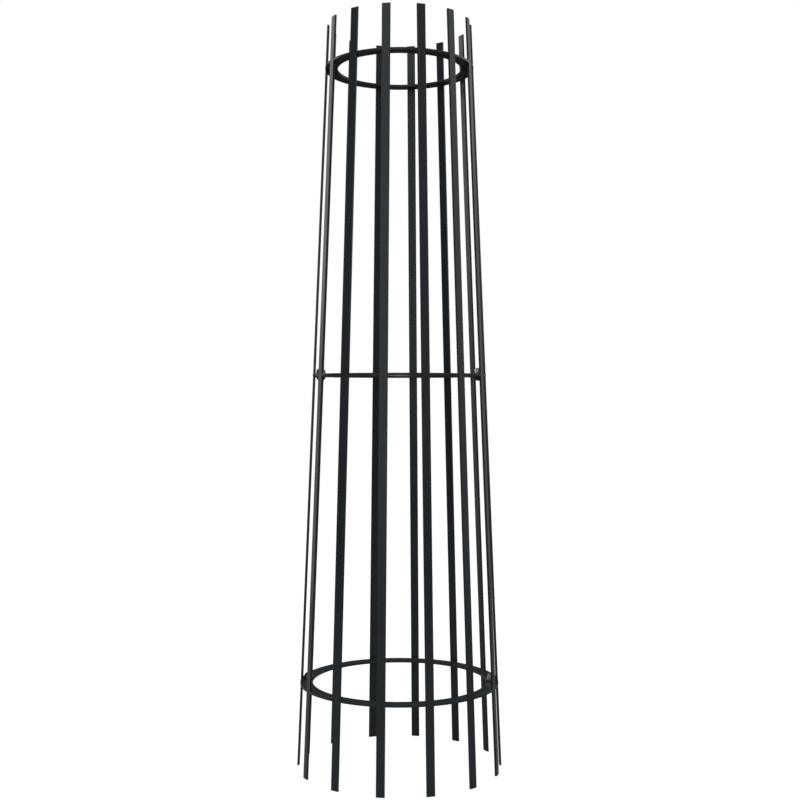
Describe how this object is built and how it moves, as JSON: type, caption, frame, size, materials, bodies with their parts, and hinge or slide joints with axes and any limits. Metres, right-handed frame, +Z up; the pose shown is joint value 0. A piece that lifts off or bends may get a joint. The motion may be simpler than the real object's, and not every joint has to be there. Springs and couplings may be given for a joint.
{
  "type": "tree guard",
  "caption": "Tall tapered cage of leaning flat steel bars on level rings, made as two bolted halves that close round a young tree's trunk.",
  "frame": {"origin": "on the cage's own upright axis, level with the feet of the bars", "axes": "+Z up along the cage, X through the two seams (+X is the right seam), -Y towards the front half"},
  "size_m": [0.497, 0.4926, 1.8],
  "materials": {
    "powder_coated_steel": "dark grey powder coat, semi-gloss",
    "zinc_plated_steel": "bright zinc plate"
  },
  "bodies": {
    "rear_half": {"bolt_bottom_left": "zinc_plated_steel", "bolt_bottom_right": "zinc_plated_steel", "bolt_middle_left": "zinc_plated_steel", "bolt_middle_right": "zinc_plated_steel", "bolt_top_left": "zinc_plated_steel", "bolt_top_right": "zinc_plated_steel", "head_washer_bottom_left": "zinc_plated_steel", "head_washer_bottom_right": "zinc_plated_steel", "head_washer_middle_left": "zinc_plated_steel", "head_washer_middle_right": "zinc_plated_steel", "head_washer_top_left": "zinc_plated_steel", "head_washer_top_right": "zinc_plated_steel", "rear_bar_1": "powder_coated_steel", "rear_bar_2": "powder_coated_steel", "rear_bar_3": "powder_coated_steel", "rear_bar_4": "powder_coated_steel", "rear_bar_5": "powder_coated_steel", "rear_bar_6": "powder_coated_steel", "rear_bar_7": "powder_coated_steel", "rear_lug_bottom_left": "powder_coated_steel", "rear_lug_bottom_right": "powder_coated_steel", "rear_lug_middle_left": "powder_coated_steel", "rear_lug_middle_right": "powder_coated_steel", "rear_lug_top_left": "powder_coated_steel", "rear_lug_top_right": "powder_coated_steel", "rear_ring_bottom": "powder_coated_steel", "rear_ring_middle": "powder_coated_steel", "rear_ring_top": "powder_coated_steel"},
    "front_half": {"front_bar_1": "powder_coated_steel", "front_bar_2": "powder_coated_steel", "front_bar_3": "powder_coated_steel", "front_bar_4": "powder_coated_steel", "front_bar_5": "powder_coated_steel", "front_bar_6": "powder_coated_steel", "front_bar_7": "powder_coated_steel", "front_lug_bottom_left": "powder_coated_steel", "front_lug_bottom_right": "powder_coated_steel", "front_lug_middle_left": "powder_coated_steel", "front_lug_middle_right": "powder_coated_steel", "front_lug_top_left": "powder_coated_steel", "front_lug_top_right": "powder_coated_steel", "front_ring_bottom": "powder_coated_steel", "front_ring_middle": "powder_coated_steel", "front_ring_top": "powder_coated_steel", "nut_washer_bottom_left": "zinc_plated_steel", "nut_washer_bottom_right": "zinc_plated_steel", "nut_washer_middle_left": "zinc_plated_steel", "nut_washer_middle_right": "zinc_plated_steel", "nut_washer_top_left": "zinc_plated_steel", "nut_washer_top_right": "zinc_plated_steel"},
    "nut_bottom_right": {"nut_bottom_right": "zinc_plated_steel"},
    "nut_bottom_left": {"nut_bottom_left": "zinc_plated_steel"},
    "nut_middle_right": {"nut_middle_right": "zinc_plated_steel"},
    "nut_middle_left": {"nut_middle_left": "zinc_plated_steel"},
    "nut_top_right": {"nut_top_right": "zinc_plated_steel"},
    "nut_top_left": {"nut_top_left": "zinc_plated_steel"}
  },
  "joints": [
    {"name": "front_half_off", "type": "slide", "parent": "rear_half", "child": "front_half", "axis": [0, -1, 0], "range_m": [0, 0.3]},
    {"name": "nut_turn_bottom_right", "type": "hinge", "parent": "front_half", "child": "nut_bottom_right", "pos_m": [0.21951, -0.02, 0.21451], "axis": [0, 1, 0], "continuous": true},
    {"name": "nut_turn_bottom_left", "type": "hinge", "parent": "front_half", "child": "nut_bottom_left", "pos_m": [-0.21951, 0, 0.21451], "axis": [0, 1, 0], "continuous": true},
    {"name": "nut_turn_middle_right", "type": "hinge", "parent": "front_half", "child": "nut_middle_right", "pos_m": [0.18918, -0.02, 0.95951], "axis": [0, 1, 0], "continuous": true},
    {"name": "nut_turn_middle_left", "type": "hinge", "parent": "front_half", "child": "nut_middle_left", "pos_m": [-0.18918, 0, 0.95951], "axis": [0, 1, 0], "continuous": true},
    {"name": "nut_turn_top_right", "type": "hinge", "parent": "front_half", "child": "nut_top_right", "pos_m": [0.15884, -0.02, 1.70451], "axis": [0, 1, 0], "continuous": true},
    {"name": "nut_turn_top_left", "type": "hinge", "parent": "front_half", "child": "nut_top_left", "pos_m": [-0.15884, 0, 1.70451], "axis": [0, 1, 0], "continuous": true}
  ]
}
